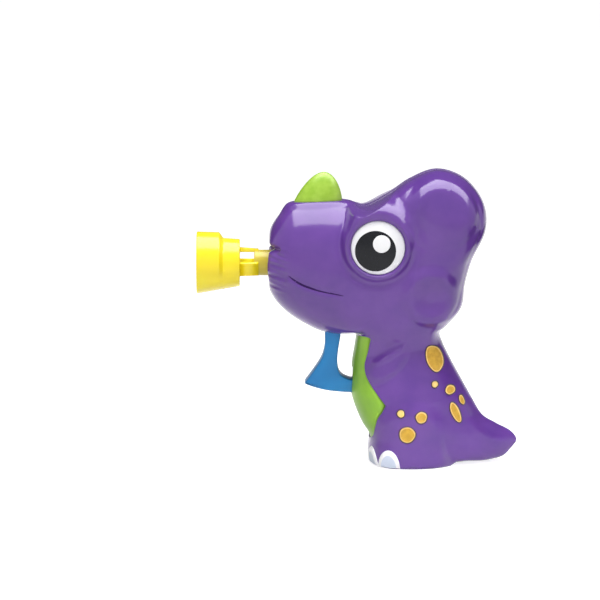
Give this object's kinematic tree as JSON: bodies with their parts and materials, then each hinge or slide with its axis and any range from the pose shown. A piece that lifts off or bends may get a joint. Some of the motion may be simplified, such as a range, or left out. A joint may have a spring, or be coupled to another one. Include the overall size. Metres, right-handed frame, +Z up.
{
  "type": "bubble blower toy",
  "caption": "Hand-squeezed dinosaur bubble blower: two-part hollow casing, finger trigger, rack and gears driving a fan, and a bubble ring held in the mouth.",
  "frame": {"origin": "centre of the underside of the bounding box, on the ground the feet stand on", "axes": "+X from the bubble ring towards the tail, +Y towards the toy's right side, +Z up"},
  "size_m": [0.1444, 0.0548, 0.1326],
  "materials": {
    "purple_shell": "gloss",
    "green_plastic": "gloss",
    "yellow_plastic": "gloss",
    "blue_plastic": "gloss",
    "white_plastic": "gloss",
    "black_plastic": "gloss",
    "gold_paint": "gloss",
    "grey_plastic": "matte",
    "steel": "satin"
  },
  "bodies": {
    "housing": {"left_casing": "purple_shell", "right_casing": "purple_shell", "belly_panel": "green_plastic", "horn": "green_plastic", "left_eye": "white_plastic", "right_eye": "white_plastic", "left_pupil": "black_plastic", "right_pupil": "black_plastic", "eye_glints": "white_plastic", "left_spots": "gold_paint", "right_spots": "gold_paint", "toenails": "white_plastic", "bubble_ring": "yellow_plastic", "air_duct": "grey_plastic", "fan_housing": "grey_plastic", "fan_cover": "grey_plastic", "gear_axles": "steel", "gear_plate": "grey_plastic", "gearbox_screws": "steel", "return_spring": "steel", "casing_screws": "steel"},
    "trigger": {"trigger": "blue_plastic"},
    "first_gear": {"first_gear": "white_plastic"},
    "second_gear": {"second_gear": "yellow_plastic"},
    "fan": {"fan_wheel": "yellow_plastic", "fan_shaft": "steel", "fan_pinion": "white_plastic"}
  },
  "joints": [
    {"name": "trigger_slide", "type": "slide", "parent": "housing", "child": "trigger", "axis": [1, 0, 0], "range_m": [0, 0.0055], "stiffness_N_per_m": 700, "springref_m": -0.005, "deforming": ["return_spring"]},
    {"name": "first_gear_spin", "type": "hinge", "parent": "housing", "child": "first_gear", "pos_m": [0.014, 0, 0.073], "axis": [0, 1, 0], "range_deg": [-0.5, 79.28]},
    {"name": "second_gear_spin", "type": "hinge", "parent": "housing", "child": "second_gear", "pos_m": [0.022, 0, 0.08686], "axis": [0, 1, 0], "range_deg": [-236.85, 0.5]},
    {"name": "fan_spin", "type": "hinge", "parent": "housing", "child": "fan", "pos_m": [0.022, 0, 0.10206], "axis": [0, 1, 0], "range_deg": [-0.5, 662.27]}
  ],
  "couplings": [
    {"joint": "first_gear_spin", "follows": "trigger_slide", "rad_per_m": 250},
    {"joint": "second_gear_spin", "follows": "trigger_slide", "rad_per_m": -750},
    {"joint": "fan_spin", "follows": "trigger_slide", "rad_per_m": 2100}
  ]
}
